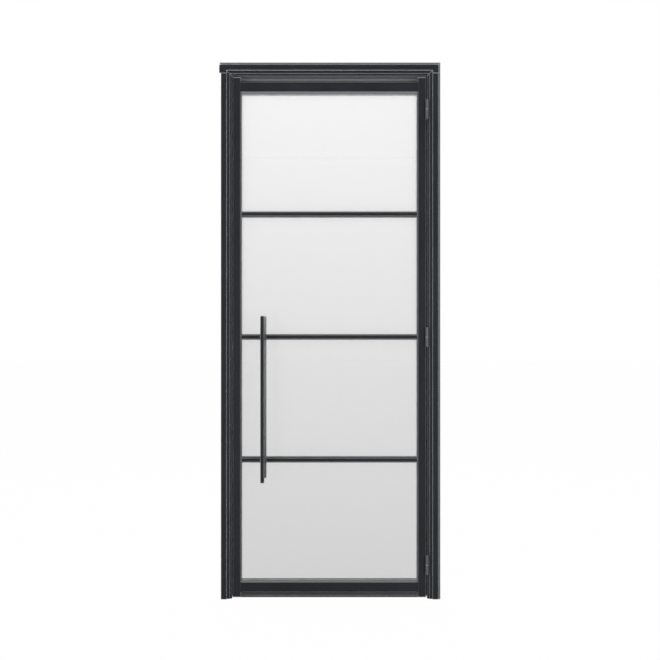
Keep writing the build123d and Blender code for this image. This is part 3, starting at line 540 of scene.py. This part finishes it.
def spring():
    """The catch's coil of round wire, which its bolt presses together."""
    low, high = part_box("catch_spring")
    start, end = low[0] + SPRING_WIRE, high[0] - SPRING_WIRE
    y, z = (low[1] + high[1]) / 2, (low[2] + high[2]) / 2
    coil = (high[1] - low[1]) / 2 - SPRING_WIRE
    mesh = bmesh.new()
    rings = []
    count = SPRING_TURNS * SPRING_STEPS
    for step in range(count + 1):
        share = step / count
        eased = share - SPRING_CLOSING * math.sin(2 * math.pi * share) / (2 * math.pi)
        x = start + (end - start) * eased
        turn = 2 * math.pi * SPRING_TURNS * share
        ring = []
        for side in range(SPRING_SIDES):
            angle = 2 * math.pi * side / SPRING_SIDES
            reach = coil + SPRING_WIRE * math.cos(angle)
            along = x + SPRING_WIRE * math.sin(angle)
            place = (along, y + reach * math.cos(turn), z + reach * math.sin(turn))
            ring.append(mesh.verts.new(place))
        rings.append(ring)
    for near, far in zip(rings, rings[1:]):
        for i in range(SPRING_SIDES):
            j = (i + 1) % SPRING_SIDES
            mesh.faces.new((near[i], near[j], far[j], far[i]))
    mesh.faces.new(rings[0])
    mesh.faces.new(rings[-1])
    bmesh.ops.recalc_face_normals(mesh, faces=mesh.faces)
    data = bpy.data.meshes.new("catch_coil")
    mesh.to_mesh(data)
    mesh.free()
    data.materials.append(steel)
    piece = bpy.data.objects.new("catch_coil", data)
    scene.collection.objects.link(piece)
    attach(piece, "leaf")
    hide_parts("catch_spring")
    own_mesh(piece)


def floor():
    """A wide pale floor that keeps the object's shadow."""
    mesh = bpy.data.meshes.new("studio_floor")
    corners = [(x * FLOOR_REACH, y * FLOOR_REACH, 0) for x, y in ((-1, -1), (1, -1), (1, 1), (-1, 1))]
    mesh.from_pydata(corners, [], [(0, 1, 2, 3)])
    piece = bpy.data.objects.new("studio_floor", mesh)
    scene.collection.objects.link(piece)
    g = Graph("studio_floor")
    paths = g.add("LightPath").outputs
    seen = g.math("MAXIMUM", paths["Is Camera Ray"], paths["Is Glossy Ray"])
    seen = g.math("MAXIMUM", seen, paths["Is Transmission Ray"])
    matt = g.add("BsdfDiffuse", [("Color", (0.86, 0.86, 0.86, 1))]).outputs[0]
    white = g.add("Emission", [("Color", (1, 1, 1, 1)), ("Strength", 1.0)]).outputs[0]
    share = g.math("MULTIPLY", seen, FLOOR_SHOWN_WHITE)
    mixed = g.add("MixShader", [(0, share), (1, matt), (2, white)]).outputs[0]
    g.link(mixed, g.out.inputs["Surface"])
    mesh.materials.append(g.material)


def world():
    """Even pale light all round, with a white background behind the door."""
    scene.world = bpy.data.worlds.new("studio")
    scene.world.use_nodes = True
    tree = scene.world.node_tree
    tree.nodes.clear()
    new, link = tree.nodes.new, tree.links.new
    paths = new("ShaderNodeLightPath").outputs
    seen = new("ShaderNodeMath")
    seen.operation = "MAXIMUM"
    link(paths["Is Camera Ray"], seen.inputs[0])
    link(paths["Is Transmission Ray"], seen.inputs[1])
    direction = new("ShaderNodeSeparateXYZ")
    link(new("ShaderNodeTexCoord").outputs["Generated"], direction.inputs[0])
    behind = new("ShaderNodeMapRange")
    link(direction.outputs["Y"], behind.inputs["Value"])
    for key, value in (("From Min", -0.6), ("From Max", 0.5), ("To Min", 0.2), ("To Max", 1.0)):
        behind.inputs[key].default_value = value
    level = new("ShaderNodeMix")
    link(seen.outputs[0], level.inputs["Factor"])
    link(behind.outputs[0], level.inputs["A"])
    level.inputs["B"].default_value = 1.0
    back = new("ShaderNodeBackground")
    back.inputs["Color"].default_value = (1, 1, 1, 1)
    link(level.outputs["Result"], back.inputs["Strength"])
    link(back.outputs[0], new("ShaderNodeOutputWorld").inputs["Surface"])


def softbox(name, place, target, width, height, power):
    """A rectangular lamp that looks at a point."""
    lamp = bpy.data.lights.new(name, "AREA")
    lamp.shape = "RECTANGLE"
    lamp.size, lamp.size_y = width, height
    lamp.energy = power
    piece = bpy.data.objects.new(name, lamp)
    piece.location = place
    way = [t - p for t, p in zip(target, place)]
    piece.rotation_euler = Vector(way).to_track_quat("-Z", "Y").to_euler()
    piece.visible_camera = False
    piece.visible_transmission = False
    scene.collection.objects.link(piece)
    return piece


def camera():
    """Looks straight along +Y, square to the door."""
    data = bpy.data.cameras.new("camera")
    data.sensor_width = SENSOR
    data.lens = SENSOR * FOCAL_PIXELS / IMAGE_SIZE
    data.clip_start, data.clip_end = 0.05, 200.0
    piece = bpy.data.objects.new("camera", data)
    piece.location = CAMERA_PLACE
    piece.rotation_euler = (math.radians(90), 0, 0)
    scene.collection.objects.link(piece)
    scene.camera = piece


coped_rails()
fasteners()
spring()
floor()
world()
camera()
front = softbox("front_light", (0.0, -4.3, 0.95), (0, 0, 1.05), 2.2, 1.8, 40)
front.visible_glossy = False
softbox("left_light", (-2.7, -3.4, 1.3), (0, 0, 1.05), 1.4, 2.6, 46)
softbox("right_light", (2.7, -3.4, 1.3), (0, 0, 1.05), 1.4, 2.6, 46)
softbox("top_light", (0.0, -1.8, 4.0), (0, 0, 1.2), 3.0, 1.4, 29)
softbox("back_light", (0.0, 3.2, 3.2), (0, 0, 1.0), 3.0, 1.4, 40)
scene.view_settings.view_transform = "Standard"
